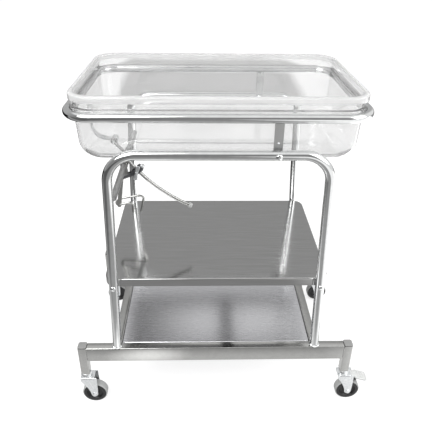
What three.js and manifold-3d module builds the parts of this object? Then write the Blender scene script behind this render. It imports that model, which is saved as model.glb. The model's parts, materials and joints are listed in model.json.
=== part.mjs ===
// Hospital bassinet: a clear tub in a tilting ring, on a stainless trolley with two shelves.
// Millimetres, +Z up, +X along the cot to the right, -Y towards the front. The floor is Z = 0.

import * as THREE from "three";
import { mergeVertices } from "three/addons/utils/BufferGeometryUtils.js";
import Module from "manifold-3d";

const wasm = await Module();
wasm.setup();

// Driving dimensions

const GAP = 0.3; // between pieces that touch or are welded
const CLEARANCE = 0.3; // radial, round every pin and bolt

const LEG_DIAMETER = 25;
const LEG_WALL = 1.2;
const FOOT_SPAN = 573; // between leg centres on the beams, along X
const TOP_SPAN = 530; // between the legs' centre lines at the top rail; the legs lean in
const HOOP_SPACING = 460; // between the two hoops, along Y
const HOOP_TOP = 825; // centre of the hoops' top rail
const HOOP_BEND = 70; // radius of the bends, at the tube's centre

const BASE_LENGTH = 800;
const BEAM_TOP = 221;
const BEAM_HEIGHT = 50;
const STOCK = 25; // width of the beams, rails and posts
const RAIL_SPAN = 575; // between the side rails' centres
const STOCK_WALL = 1.5;
const STOCK_CORNER = 3;
const POST_BOTTOM = 118;
const CAP_THICKNESS = 4;
const CAP_CORNER = 6;

const SHEET = 1.5;
const SHEET_BEND = 4;
const UPPER_SHELF = { length: 612, top: 452, lip: 24, corner: 30 };
const LOWER_SHELF = { top: 219.5, lip: 18, corner: 6 };

const BOLT_DIAMETER = 8;
const BOLT_HEAD = { radius: 8, height: 5 };
const BOLT_REACH = 8; // of the shelf bolts, past the leg and through the lip

const RING_TUBE = 22;
const RING_WALL = 1.2;
const RING_LENGTH = 716; // between tube centres
const RING_WIDTH = 442;
const RING_CORNER = 66;
const RING_HEIGHT = 912;

const PIVOT_X = 138;
const STRAP = { width: 22, thickness: 4, setback: 1 };

const TUB_WALL = 4.5;
const TUB_TOP = 959;
const TUB_BOTTOM = 789;
const TUB_RING_PLAY = 3.5; // between the wall and the inside of the ring
const TUB_TAPER = 3; // how far each wall leans in, from the ring down
const TUB_FLOOR_RADIUS = 50;
const TUB_MIN_CORNER = 3; // plan corners of the flat floor
const TUB_BEAD = { reach: 7.5, height: 5 };
const TUB_RIM = { reach: 8.5, extra: 5, skirt: 16, thickness: 3.5, round: 3 }; // extra on the long sides

const CROSS_BAR = { diameter: 16, wall: 1.2, height: 703, x: -259.2 };

const STAY_PLANE = -20; // Y of the stay rod
const STAY_PIN = { x: -282, z: 772.5, diameter: 7 };
const STAY_ROD = { diameter: 10, radius: 450, start: -63.3, end: -25.5 };
const STAY_EYE = { radius: 9, width: 11 };
const HANGER = { width: 20, thickness: 4, x: -357, turn: 67, wrap: 272 }; // wrap: where its bend ends
const CLAMP_ANGLE = -49.9; // direction of the rod where it runs through the jaw
const JAW = { length: 18, height: 34, slot: 24, width: 24, play: 0.4 };
const BARREL = { diameter: 15, reach: 44, angle: 21 };
const LEVER_PIN = { diameter: 5, inset: 5 };
const LEVER_WIRE = 7;

const WHEEL_RADIUS = 37.5;
const WHEEL_SIDES = 16;
const WHEEL_WIDTH = 24;
const CORE_RADIUS = 27;
const CORE = { boss: 10, flare: 12, dish: 22, web: 4, inset: 3 };
const TYRE = { wall: 3, shoulder: 5 };
const CASTER_TRAIL = 20;
const AXLE_RADIUS = 4;
const STEM = { race: 17, rise: 6, taper: 3, plug: 7, length: 40, lead: 2, collar: 8, drop: 11, height: 3 };
const FORK = { inside: 28, sheet: 2.5, top: 105, kingpin: 4.7, eye: 10, heel: 16, ear: 6, earDrop: 18 };
const CROWN = { half: 20, corner: 6, thickness: 5, x: 4 };
const PEDAL = { pivot: 25, height: 94, start: 9, end: 51, width: 34, thickness: 5, slope: 17, pin: 2.5 };
const PEDAL_RIB = { size: 2.5, inset: 5, rise: 0.6, places: [0.3, 0.5, 0.7, 0.9] };
const PEDAL_SHOE = { length: 14, width: 16, height: 18, x: 16, z: -6 };
const PEDAL_CORNER = 9;

// Worked out from the driving dimensions

const HOOP_Y = HOOP_SPACING / 2;
const LEG_RADIUS = LEG_DIAMETER / 2;
const POST_X = (BASE_LENGTH - STOCK) / 2;
const RAIL_X = RAIL_SPAN / 2;
const SHELF_BOLT_Z = UPPER_SHELF.top - UPPER_SHELF.lip / 2;
const HOLE_RADIUS = BOLT_DIAMETER / 2 + CLEARANCE;
const AXLE_Z = WHEEL_RADIUS * Math.cos(Math.PI / WHEEL_SIDES); // a flat of the tread meets the floor
const LEG_LEAN = (FOOT_SPAN - TOP_SPAN) / 2 / (HOOP_TOP - BEAM_TOP);
const SHELF_BOLT_X = FOOT_SPAN / 2 - LEG_LEAN * (SHELF_BOLT_Z - BEAM_TOP);

const degrees = THREE.MathUtils.degToRad;

// Finishes

const finishes = {
  stainless: { color: 0xc4c6c8, roughness: 0.16, metalness: 1 },
  sheet: { color: 0x9a9b9d, roughness: 0.22, metalness: 1 },
  acrylic: { color: 0xe9edee, roughness: 0.05, metalness: 0, transparent: true, opacity: 0.3 },
  zinc: { color: 0xd6d8da, roughness: 0.35, metalness: 1 },
  blackIron: { color: 0x2d2e30, roughness: 0.5, metalness: 0.6 },
  greyPlastic: { color: 0xb9bab8, roughness: 0.5, metalness: 0 },
  blackPlastic: { color: 0x1c1c1d, roughness: 0.45, metalness: 0 },
  greyRubber: { color: 0x8d8e8e, roughness: 0.8, metalness: 0 },
};

// Geometry helpers

// Points of a circle, anticlockwise.
function circle(radius, sides) {
  const turn = (2 * Math.PI) / sides;
  return Array.from({ length: sides }, (_, i) => {
    return new THREE.Vector2(radius * Math.cos(i * turn), radius * Math.sin(i * turn));
  });
}

// Points of a rectangle with round corners, anticlockwise, centred on the origin.
function roundedRectangle(halfX, halfY, radius, cornerSteps = 3) {
  const points = [];
  for (let corner = 0; corner < 4; corner += 1) {
    const sideX = corner === 0 || corner === 3 ? 1 : -1;
    const sideY = corner < 2 ? 1 : -1;
    for (let step = 0; step <= cornerSteps; step += 1) {
      const angle = (corner + step / cornerSteps) * (Math.PI / 2);
      const x = sideX * (halfX - radius) + radius * Math.cos(angle);
      const y = sideY * (halfY - radius) + radius * Math.sin(angle);
      points.push(new THREE.Vector2(x, y));
    }
  }
  return points;
}

// Plan points lifted to a height.
function level(points, z) {
  return points.map((p) => new THREE.Vector3(p.x, p.y, z));
}

// A skin over rings of equal counts. A closed loft joins the last ring to the first; an open one
// is capped at both ends, so its end rings are convex.
function loft(rings, closed = false) {
  const count = rings[0].length;
  const positions = rings.flat().flatMap((p) => [p.x, p.y, p.z]);
  const index = [];
  const bands = closed ? rings.length : rings.length - 1;
  for (let band = 0; band < bands; band += 1) {
    const low = band * count;
    const high = ((band + 1) % rings.length) * count;
    for (let i = 0; i < count; i += 1) {
      const next = (i + 1) % count;
      index.push(low + i, low + next, high + next);
      index.push(low + i, high + next, high + i);
    }
  }
  if (!closed) {
    const last = (rings.length - 1) * count;
    for (let i = 1; i < count - 1; i += 1) {
      index.push(0, i + 1, i);
      index.push(last, last + i, last + i + 1);
    }
  }
  const geometry = new THREE.BufferGeometry();
  geometry.setAttribute("position", new THREE.Float32BufferAttribute(positions, 3));
  geometry.setIndex(index);
  return geometry;
}

// Stations along a polyline whose corners are rounded to one radius.
function bentPath(corners, radius, steps, closed = false) {
  const stations = [];
  const count = corners.length;
  corners.forEach((corner, i) => {
    if (!closed && (i === 0 || i === count - 1)) {
      const from = i === 0 ? corner : corners[i - 1];
      const to = i === 0 ? corners[1] : corner;
      stations.push({ point: corner, tangent: to.clone().sub(from).normalize() });
      return;
    }
    const back = corners[(i - 1 + count) % count].clone().sub(corner).normalize();
    const ahead = corners[(i + 1) % count].clone().sub(corner).normalize();
    const half = back.angleTo(ahead) / 2;
    const middle = back.clone().add(ahead).normalize();
    const centre = corner.clone().addScaledVector(middle, radius / Math.sin(half));
    const start = corner.clone().addScaledVector(back, radius / Math.tan(half)).sub(centre);
    const heading = back.clone().negate();
    for (let step = 0; step <= steps; step += 1) {
      const turn = ((Math.PI - 2 * half) * step) / steps;
      const point = centre.clone().addScaledVector(start, Math.cos(turn));
      point.addScaledVector(heading, radius * Math.sin(turn));
      const tangent = heading.clone().multiplyScalar(Math.cos(turn));
      tangent.addScaledVector(start, -Math.sin(turn) / radius);
      stations.push({ point, tangent: tangent.normalize() });
    }
  });
  return stations;
}

// Rings of a section carried along a flat path. The section's second axis is the path's normal.
function carry(section, stations, normal) {
  return stations.map(({ point, tangent }) => {
    const side = normal.clone().cross(tangent);
    return section.map((s) => {
      return point.clone().addScaledVector(side, s.x).addScaledVector(normal, s.y);
    });
  });
}

// A tube with open ends along a flat path.
function hollowTube(outer, inner, stations, normal) {
  return loft([...carry(outer, stations, normal), ...carry(inner, stations, normal).reverse()], true);
}

// A straight box section with a bore, along X, Y or Z, from start to end.
function boxTube(width, height, axis, start, end) {
  const outer = roundedRectangle(width / 2, height / 2, STOCK_CORNER, 2);
  const inside = STOCK_CORNER - STOCK_WALL;
  const inner = roundedRectangle(width / 2 - STOCK_WALL, height / 2 - STOCK_WALL, inside, 2);
  const tangent = new THREE.Vector3(axis === "x", axis === "y", axis === "z");
  const normal = axis === "z" ? new THREE.Vector3(0, 1, 0) : new THREE.Vector3(0, 0, 1);
  const stations = [start, end].map((at) => ({ point: tangent.clone().multiplyScalar(at), tangent }));
  return hollowTube(outer, inner, stations, normal);
}

// A turned piece about Y from [radius, height] pairs, outside upwards.
function turned(profile, sides) {
  return new THREE.LatheGeometry(profile.map(([r, y]) => new THREE.Vector2(r, y)), sides);
}

// A cylinder along Y, between two values of Y, at a place in the XZ plane.
function crossPin(radius, from, to, x, z, sides = 10) {
  const pin = new THREE.CylinderGeometry(radius, radius, to - from, sides);
  return pin.translate(x, (from + to) / 2, z);
}

// A flat plate from an outline in the XZ plane, between two values of Y.
function plate(outline, from, to) {
  const options = { depth: to - from, bevelEnabled: false, curveSegments: 5 };
  const flat = new THREE.ExtrudeGeometry(outline, options);
  return flat.rotateX(Math.PI / 2).translate(0, to, 0);
}

function toSolid(geometry) {
  const bare = geometry.clone();
  bare.deleteAttribute("normal");
  bare.deleteAttribute("uv");
  const merged = mergeVertices(bare, 1e-3);
  const triVerts = new Uint32Array(merged.index.array);
  return new wasm.Manifold(
    new wasm.Mesh({ numProp: 3, vertProperties: merged.attributes.position.array, triVerts }),
  );
}

function toGeometry(manifold) {
  const made = manifold.getMesh();
  const geometry = new THREE.BufferGeometry();
  geometry.setAttribute("position", new THREE.Float32BufferAttribute(made.vertProperties, 3));
  geometry.setIndex(new THREE.Uint32BufferAttribute(made.triVerts, 1));
  return geometry;
}

function cut(geometry, ...tools) {
  return toGeometry(tools.reduce((body, tool) => body.subtract(toSolid(tool)), toSolid(geometry)));
}

function join(...geometries) {
  const [first, ...rest] = geometries.map(toSolid);
  return toGeometry(rest.reduce((body, piece) => body.add(piece), first));
}

const bassinet = new THREE.Group();

function add(name, geometry, finish, parent = bassinet) {
  const mesh = new THREE.Mesh(geometry, new THREE.MeshStandardMaterial(finishes[finish]));
  geometry.computeVertexNormals();
  mesh.name = name;
  parent.add(mesh);
  return mesh;
}

const ENDS = { front: -1, rear: 1 };
const SIDES = { left: -1, right: 1 };

// Base frame: two beams across, two rails between them and a post at each corner

function addBase() {
  const rail = BASE_LENGTH / 2 - STOCK - GAP;
  const beamZ = BEAM_TOP - BEAM_HEIGHT / 2;
  for (const [end, y] of Object.entries(ENDS)) {
    const beam = boxTube(STOCK, BEAM_HEIGHT, "x", -rail, rail);
    add(`${end}_base_beam`, beam.translate(0, y * HOOP_Y, beamZ), "stainless");
  }
  const reach = HOOP_Y - STOCK / 2 - GAP;
  for (const [side, x] of Object.entries(SIDES)) {
    const tube = boxTube(STOCK, STOCK, "y", -reach, reach);
    add(`base_side_rail_${side}`, tube.translate(x * RAIL_X, 0, BEAM_TOP - STOCK / 2), "stainless");
  }
  for (const [end, y] of Object.entries(ENDS)) {
    for (const [side, x] of Object.entries(SIDES)) {
      const post = boxTube(STOCK, STOCK, "z", POST_BOTTOM, BEAM_TOP);
      add(`post_${end}_${side}`, post.translate(x * POST_X, y * HOOP_Y, 0), "stainless");
      add(`post_cap_${end}_${side}`, postCap().translate(x * POST_X, y * HOOP_Y, BEAM_TOP), "greyPlastic");
    }
  }
}

// A push-in cap: a square spigot under a flat top with round corners.
function postCap() {
  const half = STOCK / 2;
  const spigot = half - STOCK_WALL - GAP;
  const depth = 12;
  const chamfer = 1.2;
  const side = roundedRectangle(half, half, CAP_CORNER, 2);
  const plug = roundedRectangle(spigot, spigot, 1, 2);
  return loft([
    level(plug, -depth),
    level(plug, GAP),
    level(side, GAP),
    level(side, GAP + CAP_THICKNESS - chamfer),
    level(roundedRectangle(half - chamfer, half - chamfer, CAP_CORNER - chamfer, 2), GAP + CAP_THICKNESS),
  ]);
}

// Leg hoops: one bent tube each, drilled for the shelf bolts and the pivot bolt

function addHoops() {
  const foot = BEAM_TOP + GAP + LEG_RADIUS * LEG_LEAN;
  const footX = FOOT_SPAN / 2;
  const topX = TOP_SPAN / 2;
  for (const [end, y] of Object.entries(ENDS)) {
    const corners = [
      new THREE.Vector3(-footX, y * HOOP_Y, foot),
      new THREE.Vector3(-topX, y * HOOP_Y, HOOP_TOP),
      new THREE.Vector3(topX, y * HOOP_Y, HOOP_TOP),
      new THREE.Vector3(footX, y * HOOP_Y, foot),
    ];
    const stations = bentPath(corners, HOOP_BEND, 4);
    const normal = new THREE.Vector3(0, 1, 0);
    const sides = 12;
    const outer = circle(LEG_RADIUS, sides);
    const inner = circle(LEG_RADIUS - LEG_WALL, sides);
    const through = [
      [PIVOT_X, HOOP_TOP],
      [-SHELF_BOLT_X, SHELF_BOLT_Z],
      [SHELF_BOLT_X, SHELF_BOLT_Z],
    ].map(([x, z]) => crossPin(HOLE_RADIUS, y * HOOP_Y - LEG_DIAMETER, y * HOOP_Y + LEG_DIAMETER, x, z));
    add(`${end}_leg_hoop`, cut(hollowTube(outer, inner, stations, normal), ...through), "stainless");
  }
  const bar = circle(CROSS_BAR.diameter / 2, 14);
  const bore = circle(CROSS_BAR.diameter / 2 - CROSS_BAR.wall, 14);
  const tangent = new THREE.Vector3(0, 1, 0);
  const reach = HOOP_Y - LEG_RADIUS - GAP;
  const stations = [-reach, reach].map((y) => {
    return { point: new THREE.Vector3(CROSS_BAR.x, y, CROSS_BAR.height), tangent };
  });
  add("left_cross_bar", hollowTube(bar, bore, stations, new THREE.Vector3(0, 0, 1)), "stainless");
}

// A bolt along Y with a domed head at Y = 0, its shank towards +Y.
function bolt(length, nut = null) {
  const { radius, height } = BOLT_HEAD;
  const shank = BOLT_DIAMETER / 2;
  const dome = [[0, 1], [0.55, 0.85], [1, 0.25], [1, 0]]; // shares of the head's radius and height
  const head = dome.map(([r, h]) => [r * radius, -h * height]);
  const end = nut
    ? [[shank, length], [nut.radius, length], [nut.radius, length + nut.height], [0, length + nut.height]]
    : [[shank, length - 1], [shank - 1, length], [0, length]];
  return turned([...head, [shank, 0], ...end], 10);
}

// Shelves: folded sheet pans with a turned-down lip all round

function shelfPan(halfX, halfY, corner, lip) {
  const edge = (inset, z) => level(roundedRectangle(halfX - inset, halfY - inset, corner - inset, 4), z);
  const round = SHEET_BEND - SHEET_BEND * Math.SQRT1_2;
  return loft([
    edge(SHEET_BEND, -SHEET),
    edge(SHEET, -SHEET_BEND),
    edge(SHEET, -lip),
    edge(0, -lip),
    edge(0, -SHEET_BEND),
    edge(round, -round),
    edge(SHEET_BEND, 0),
  ]);
}

function addShelves() {
  const inside = HOOP_Y - LEG_RADIUS;
  const { length, top, lip, corner } = UPPER_SHELF;
  const upper = shelfPan(length / 2, inside - 2 * GAP, corner, lip).translate(0, 0, top);
  const drills = [-SHELF_BOLT_X, SHELF_BOLT_X].flatMap((x) => {
    return [-inside, inside].map((y) => crossPin(HOLE_RADIUS, y - lip / 2, y + lip / 2, x, SHELF_BOLT_Z));
  });
  add("upper_shelf", cut(upper, ...drills), "sheet");
  const between = RAIL_X - STOCK / 2 - GAP;
  const lower = shelfPan(between, inside - GAP, LOWER_SHELF.corner, LOWER_SHELF.lip);
  add("lower_shelf", lower.translate(0, 0, LOWER_SHELF.top), "sheet");
  const shank = LEG_DIAMETER + BOLT_REACH;
  for (const [end, y] of Object.entries(ENDS)) {
    for (const [side, x] of Object.entries(SIDES)) {
      const mesh = add(`shelf_bolt_${end}_${side}`, bolt(shank), "stainless");
      mesh.position.set(x * SHELF_BOLT_X, y * (HOOP_Y + LEG_RADIUS + GAP), SHELF_BOLT_Z);
      mesh.rotation.z = y > 0 ? Math.PI : 0;
    }
  }
}

// Support ring: a closed tube with a weld vent underneath, hung on two straps that pivot on bolts

function addRing() {
  const corners = [[-1, -1], [1, -1], [1, 1], [-1, 1]].map(([x, y]) => {
    return new THREE.Vector3((x * RING_LENGTH) / 2, (y * RING_WIDTH) / 2, RING_HEIGHT);
  });
  const stations = bentPath(corners, RING_CORNER, 5, true);
  const up = new THREE.Vector3(0, 0, 1);
  const outer = loft(carry(circle(RING_TUBE / 2, 12), stations, up), true);
  const bore = loft(carry(circle(RING_TUBE / 2 - RING_WALL, 8), stations, up), true);
  const vent = new THREE.CylinderGeometry(2, 2, RING_TUBE / 2, 8).rotateX(Math.PI / 2);
  vent.translate(0, RING_WIDTH / 2, RING_HEIGHT - RING_TUBE / 2);
  add("support_ring", cut(outer, bore, vent), "stainless");

  const { width, thickness, setback } = STRAP;
  const half = width / 2;
  const inner = HOOP_Y - LEG_RADIUS - setback;
  const offset = RING_WIDTH / 2 - inner;
  const top = RING_HEIGHT - Math.sqrt((RING_TUBE / 2) ** 2 - offset ** 2) - GAP;
  const outline = new THREE.Shape();
  outline.moveTo(PIVOT_X + half, top);
  outline.lineTo(PIVOT_X - half, top);
  outline.lineTo(PIVOT_X - half, HOOP_TOP);
  outline.absarc(PIVOT_X, HOOP_TOP, half, Math.PI, 2 * Math.PI);
  outline.holes.push(new THREE.Path().absarc(PIVOT_X, HOOP_TOP, HOLE_RADIUS, 0, 2 * Math.PI));
  const nut = { radius: 7, height: 4 };
  const grip = LEG_DIAMETER + setback + thickness + 3 * GAP;
  for (const [end, y] of Object.entries(ENDS)) {
    const faces = [y * inner, y * (inner - thickness)].sort((a, b) => a - b);
    add(`pivot_strap_${end}`, plate(outline, ...faces), "stainless");
    const mesh = add(`pivot_bolt_${end}`, bolt(grip, nut), "stainless");
    mesh.position.set(PIVOT_X, y * (HOOP_Y + LEG_RADIUS + GAP), HOOP_TOP);
    mesh.rotation.z = y > 0 ? Math.PI : 0;
  }
}

// Tub: a moulded shell with a rounded floor, a bead that seats on the ring and a turned-down rim

function addTub() {
  const halfX = RING_LENGTH / 2 - RING_TUBE / 2 - TUB_RING_PLAY;
  const halfY = RING_WIDTH / 2 - RING_TUBE / 2 - TUB_RING_PLAY;
  const corner = RING_CORNER - RING_TUBE / 2 - TUB_RING_PLAY;
  const ring = (out, z, extra = 0) => {
    const radius = Math.max(corner + out, TUB_MIN_CORNER);
    return level(roundedRectangle(halfX + out, halfY + out + extra, radius, 5), z);
  };
  const seatDrop = Math.sqrt((RING_TUBE / 2) ** 2 - (RING_TUBE / 2 + TUB_RING_PLAY - TUB_BEAD.reach) ** 2);
  const seat = RING_HEIGHT + seatDrop + GAP;
  const floorArc = TUB_BOTTOM + TUB_FLOOR_RADIUS;
  // The floor's round corner, from the flat floor up to the wall, at a depth inside the outer skin.
  const floorCorner = (depth) => [0, 1, 2, 3, 4].map((step) => {
    const angle = (step / 4) * (Math.PI / 2);
    const radius = TUB_FLOOR_RADIUS - depth;
    const out = -TUB_TAPER - TUB_FLOOR_RADIUS + radius * Math.sin(angle);
    return ring(out, floorArc - radius * Math.cos(angle));
  });
  const { reach, extra, skirt, thickness, round } = TUB_RIM;
  const ease = round * 0.3; // the middle of the rim's rounded edge
  const outside = [
    ...floorCorner(0),
    ring(0, seat - TUB_BEAD.height),
    ring(0, seat),
    ring(TUB_BEAD.reach, seat),
    ring(TUB_BEAD.reach, seat + TUB_BEAD.height - 1),
    ring(0, seat + TUB_BEAD.height),
    ring(0, TUB_TOP - thickness),
    ring(reach - thickness, TUB_TOP - thickness, extra),
    ring(reach - thickness, TUB_TOP - skirt, extra),
    ring(reach, TUB_TOP - skirt, extra),
    ring(reach, TUB_TOP - round, extra),
    ring(reach - ease, TUB_TOP - ease, extra),
    ring(reach - round, TUB_TOP, extra),
  ];
  const inside = [
    ring(round - TUB_WALL, TUB_TOP),
    ring(-TUB_WALL, TUB_TOP - round),
    ...floorCorner(TUB_WALL).reverse(),
  ];
  add("tub", loft([...outside, ...inside]), "acrylic");
}

// Tilt stay: a curved rod that hangs from the ring and runs through a clamp on the cross bar

const rodCentre = (() => {
  const along = degrees(STAY_ROD.start);
  const x = STAY_PIN.x - STAY_ROD.radius * Math.sin(along);
  return new THREE.Vector3(x, STAY_PLANE, STAY_PIN.z + STAY_ROD.radius * Math.cos(along));
})();

// Place and direction on the rod's arc, where the rod heads down at the given angle.
function onRod(angle) {
  const along = degrees(angle);
  const tangent = new THREE.Vector3(Math.cos(along), 0, Math.sin(along));
  const inward = new THREE.Vector3(-Math.sin(along), 0, Math.cos(along));
  return { point: rodCentre.clone().addScaledVector(inward, -STAY_ROD.radius), tangent };
}

function addStay() {
  const across = new THREE.Vector3(0, 1, 0);
  const pinHole = STAY_PIN.diameter / 2 + CLEARANCE;
  const front = STAY_PLANE - STAY_EYE.width / 2;
  const back = STAY_PLANE + STAY_EYE.width / 2;

  const hangerFront = back + GAP;
  const hangerBack = hangerFront + HANGER.width;
  const bendZ = TUB_BOTTOM + TUB_FLOOR_RADIUS;
  const strip = new THREE.Shape();
  const half = HANGER.thickness / 2;
  const bendX = HANGER.x + HANGER.turn;
  const finish = degrees(HANGER.wrap);
  strip.moveTo(HANGER.x - half, RING_HEIGHT - RING_TUBE / 2 - GAP);
  strip.lineTo(HANGER.x - half, bendZ);
  strip.absarc(bendX, bendZ, HANGER.turn + half, Math.PI, finish, false);
  strip.absarc(bendX, bendZ, HANGER.turn - half, finish, Math.PI, true);
  strip.lineTo(HANGER.x + half, RING_HEIGHT - RING_TUBE / 2 - GAP);
  const knuckle = crossPin(STAY_EYE.radius, hangerFront, hangerBack, STAY_PIN.x, STAY_PIN.z, 16);
  const bore = crossPin(pinHole, hangerFront - 1, hangerBack + 1, STAY_PIN.x, STAY_PIN.z);
  add("stay_hanger", cut(join(plate(strip, hangerFront, hangerBack), knuckle), bore), "stainless");

  const head = { radius: 6, height: 3 };
  const shank = STAY_PIN.diameter / 2;
  const length = hangerBack - front + 2 * GAP + 2;
  const pin = turned(
    [
      [0, 0], [shank - 1, 0], [shank, 1], [shank, length],
      [head.radius, length], [head.radius, length + head.height], [0, length + head.height],
    ],
    12,
  );
  add("stay_pin", pin.translate(STAY_PIN.x, front - 2, STAY_PIN.z), "zinc");

  const steps = 12;
  const stations = Array.from({ length: steps + 1 }, (_, i) => {
    return onRod(STAY_ROD.start + ((STAY_ROD.end - STAY_ROD.start) * i) / steps);
  });
  const rod = loft(carry(circle(STAY_ROD.diameter / 2, 10), stations, across));
  const eye = crossPin(STAY_EYE.radius, front, back, STAY_PIN.x, STAY_PIN.z, 16);
  const eyeBore = crossPin(pinHole, front - 1, back + 1, STAY_PIN.x, STAY_PIN.z);
  add("stay_rod", cut(join(rod, eye), eyeBore), "stainless");

  const cup = { radius: 7.5, length: 11, floor: 3, bore: STAY_ROD.diameter / 2 + GAP };
  const tip = turned(
    [
      [0, 0], [cup.radius - 1.5, 0], [cup.radius, 1.5], [cup.radius, cup.length],
      [cup.bore, cup.length], [cup.bore, cup.floor], [0, cup.floor],
    ],
    12,
  );
  const end = onRod(STAY_ROD.end);
  const mesh = add("stay_rod_tip", tip, "greyPlastic");
  mesh.quaternion.setFromUnitVectors(across, end.tangent.clone().negate());
  mesh.position.copy(end.point).addScaledVector(end.tangent, cup.floor + GAP);
}

// Clamp on the cross bar: a collar, a web, a barrel and a slotted jaw that the rod runs through

function addClamp() {
  const { point: grip } = onRod(CLAMP_ANGLE);
  const collarFront = STAY_PLANE - JAW.width / 2;
  const collarBack = STAY_PLANE + JAW.width / 2;
  const barRadius = CROSS_BAR.diameter / 2;
  const collar = crossPin(barRadius + 2.5, collarFront, collarBack, CROSS_BAR.x, CROSS_BAR.height, 16);
  const bore = crossPin(barRadius + GAP, collarFront - 1, collarBack + 1, CROSS_BAR.x, CROSS_BAR.height, 16);

  const turn = (geometry) => geometry.rotateY(-degrees(CLAMP_ANGLE)).translate(grip.x, STAY_PLANE, grip.z);
  const jaw = turn(new THREE.BoxGeometry(JAW.length, JAW.width, JAW.height));
  const slotWidth = STAY_ROD.diameter + 2 * JAW.play;
  const slot = turn(new THREE.BoxGeometry(2 * JAW.length, slotWidth, JAW.slot));

  const wall = (JAW.height + JAW.slot) / 4;
  const normal = degrees(CLAMP_ANGLE + 90);
  const seat = grip.clone();
  seat.x -= wall * Math.cos(normal);
  seat.z -= wall * Math.sin(normal);
  const lean = degrees(BARREL.angle);
  const barrelEnd = seat.clone().add(
    new THREE.Vector3(-BARREL.reach * Math.cos(lean), 0, -BARREL.reach * Math.sin(lean)),
  );
  const barrel = new THREE.CylinderGeometry(BARREL.diameter / 2, BARREL.diameter / 2, BARREL.reach, 14);
  barrel.rotateZ(Math.PI / 2).rotateY(-lean);
  barrel.translate((seat.x + barrelEnd.x) / 2, STAY_PLANE, (seat.z + barrelEnd.z) / 2);

  const webWidth = 10;
  const webFoot = (seat.z + barrelEnd.z) / 2;
  const web = new THREE.BoxGeometry(webWidth, webWidth, CROSS_BAR.height - webFoot);
  web.translate(CROSS_BAR.x + 1, STAY_PLANE, (CROSS_BAR.height + webFoot) / 2);

  const leverX = barrelEnd.x + LEVER_PIN.inset * Math.cos(lean);
  const leverZ = barrelEnd.z + LEVER_PIN.inset * Math.sin(lean);
  const leverHole = LEVER_PIN.diameter / 2 + CLEARANCE;
  const depth = BARREL.diameter;
  const pinHole = crossPin(leverHole, STAY_PLANE - depth, STAY_PLANE + depth, leverX, leverZ);
  const screwHole = crossPin(3 + CLEARANCE, collarFront - 1, STAY_PLANE - slotWidth / 2 + 1, grip.x, grip.z);
  const body = join(collar, web, barrel, jaw);
  add("stay_clamp", cut(body, bore, slot, pinHole, screwHole), "blackIron");

  const wing = new THREE.Shape();
  wing.moveTo(-3, -4);
  wing.lineTo(3, -4);
  wing.bezierCurveTo(7, 6, 8, 18, 3, 20);
  wing.bezierCurveTo(0, 21, -4, 18, -3, -4);
  const wingThickness = 3;
  const hubFront = collarFront - 12;
  const hub = crossPin(5.5, hubFront, collarFront - GAP, 0, 0, 12);
  const shank = crossPin(3, collarFront - 2, STAY_PLANE - slotWidth / 2 - GAP, 0, 0, 12);
  const blade = plate(wing, hubFront + 2, hubFront + 2 + wingThickness);
  const screw = join(hub, shank, blade, blade.clone().rotateY(Math.PI));
  const mesh = add("clamp_wing_screw", screw, "zinc");
  mesh.position.set(grip.x, 0, grip.z);
  mesh.rotation.y = degrees(15);

  addLever(leverX, leverZ);
}

// Release lever: a hairpin of wire with both ends turned down, welded to a link on the barrel's pin

function addLever(pinX, pinZ) {
  const linkFront = STAY_PLANE + BARREL.diameter / 2 + GAP;
  const linkBack = linkFront + 4;
  const wireFront = -10;
  const wireRear = 28;
  const bow = new THREE.Vector3(-292, (wireFront + wireRear) / 2, 564);
  const linkHalf = 6;
  const link = new THREE.Shape();
  const lean = Math.atan2(pinZ - bow.z, pinX - bow.x);
  link.absarc(pinX, pinZ, linkHalf, lean - Math.PI / 2, lean + Math.PI / 2);
  link.absarc(bow.x + 6, bow.z, linkHalf, lean + Math.PI / 2, lean + (3 * Math.PI) / 2);
  const route = new THREE.CatmullRomCurve3(
    [
      new THREE.Vector3(-246, wireFront, 541),
      new THREE.Vector3(-245, wireFront, 564),
      new THREE.Vector3(-250, wireFront, 572),
      new THREE.Vector3(-270, wireFront, 570),
      new THREE.Vector3(bow.x + 4, wireFront + 2, bow.z),
      bow.clone().add(new THREE.Vector3(-5, 0, 0)),
      new THREE.Vector3(bow.x + 4, wireRear - 2, bow.z + 1),
      new THREE.Vector3(-270, wireRear, 569),
      new THREE.Vector3(-228, wireRear, 576),
      new THREE.Vector3(-219, wireRear, 570),
      new THREE.Vector3(-228, wireRear, 521),
    ],
    false,
    "centripetal",
  );
  const section = new THREE.Shape(circle(LEVER_WIRE / 2, 6));
  const wire = new THREE.ExtrudeGeometry(section, { extrudePath: route, steps: 30, bevelEnabled: false });
  const hole = crossPin(LEVER_PIN.diameter / 2 + CLEARANCE, linkFront - 1, linkBack + 1, pinX, pinZ);
  add("release_lever", cut(join(plate(link, linkFront, linkBack), wire), hole), "stainless");

  const head = 4.5;
  const shank = LEVER_PIN.diameter / 2;
  const barrelFront = STAY_PLANE - BARREL.diameter / 2;
  const length = linkBack - barrelFront + 2 * GAP;
  const pin = turned(
    [
      [0, -3], [head, -3], [head, 0], [shank, 0],
      [shank, length], [head, length], [head, length + 3], [0, length + 3],
    ],
    10,
  );
  add("lever_pin", pin.translate(pinX, barrelFront - GAP, pinZ), "zinc");
}

// Casters: a kingpin stem in each post, a swivelling fork and a wheel that trails to the right

function casterStem() {
  const { race, rise, taper, plug, length, lead, collar, drop, height } = STEM;
  const pin = FORK.kingpin;
  const seat = FORK.top + GAP;
  const low = FORK.top - drop;
  const shoulder = POST_BOTTOM - GAP;
  return turned(
    [
      [0, low], [collar, low], [collar, low + height], [pin, low + height + 1],
      [pin, seat], [race, seat], [race, FORK.top + rise], [race - taper, shoulder],
      [plug, shoulder], [plug, POST_BOTTOM + length], [0, POST_BOTTOM + length + lead],
    ],
    10,
  ).rotateX(Math.PI / 2);
}

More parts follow.
